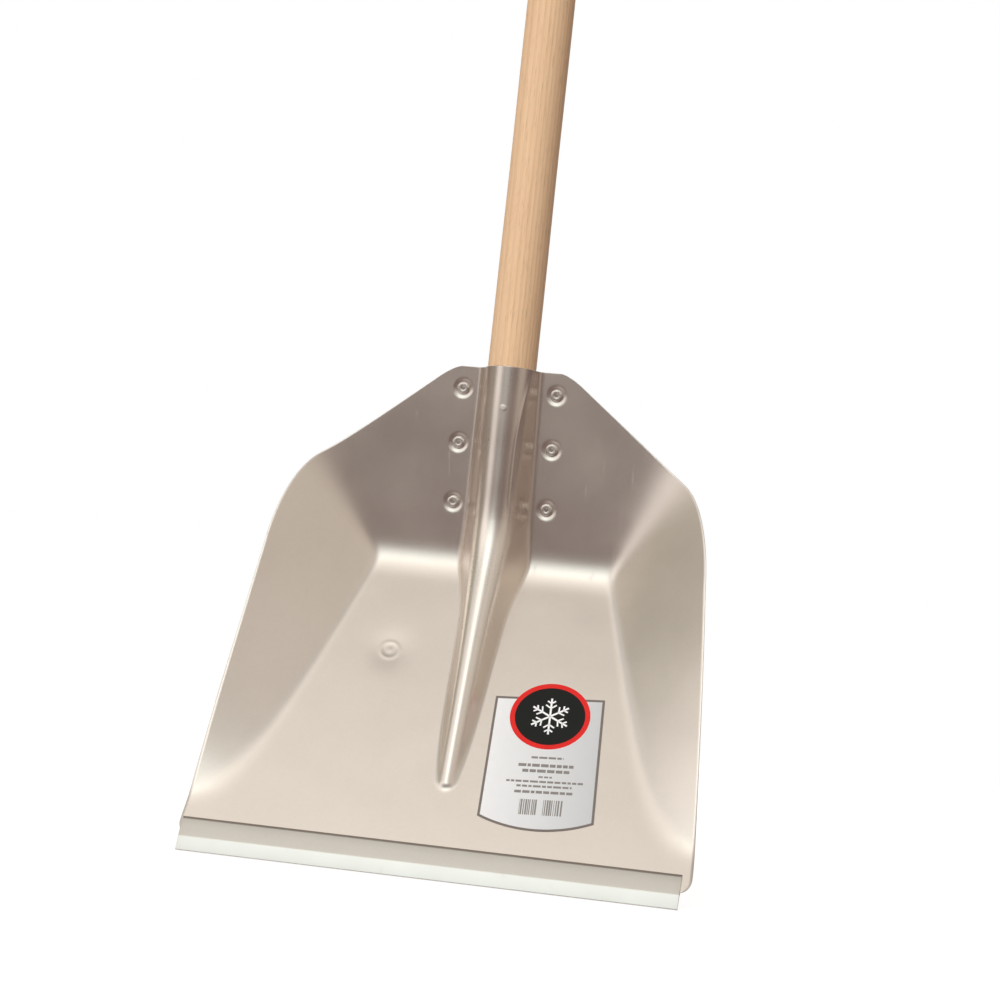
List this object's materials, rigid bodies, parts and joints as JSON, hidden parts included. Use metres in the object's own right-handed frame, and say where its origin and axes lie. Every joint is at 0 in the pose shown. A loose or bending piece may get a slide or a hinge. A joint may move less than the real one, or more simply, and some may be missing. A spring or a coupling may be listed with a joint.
{
  "type": "snow shovel",
  "caption": "Snow shovel with a dished sheet-metal blade, a pressed socket that runs out as a ridge, a folded steel edge and a long round wooden handle.",
  "frame": {"origin": "bottom centre of the bounding box, on the ground plane under the blade, with the shovel standing upright on its front edge", "axes": "+Z along the handle towards its top, -Y out of the hollow face of the blade, +X to the right seen from that side"},
  "size_m": [0.3826, 0.1444, 1.5717],
  "materials": {
    "blade_aluminium": "mill finish, pressed, lightly scuffed",
    "plate_aluminium": "mill finish",
    "handle_wood": "sanded pale ash, unvarnished",
    "nail_steel": "zinc plated, hammered",
    "edge_steel": "galvanised sheet",
    "label_foil": "silver-printed sticker with a red-rimmed badge",
    "rivet_aluminium": "satin",
    "mandrel_steel": "dull, broken end"
  },
  "bodies": {
    "root": {"blade": "blade_aluminium", "socket_plate": "plate_aluminium", "handle": "handle_wood", "handle_nail": "nail_steel", "edge_strip": "edge_steel", "label": "label_foil", "rivet_left_upper": "rivet_aluminium", "mandrel_left_upper": "mandrel_steel", "rivet_left_middle": "rivet_aluminium", "mandrel_left_middle": "mandrel_steel", "rivet_left_lower": "rivet_aluminium", "mandrel_left_lower": "mandrel_steel", "rivet_right_upper": "rivet_aluminium", "mandrel_right_upper": "mandrel_steel", "rivet_right_middle": "rivet_aluminium", "mandrel_right_middle": "mandrel_steel", "rivet_right_lower": "rivet_aluminium", "mandrel_right_lower": "mandrel_steel"}
  },
  "joints": []
}
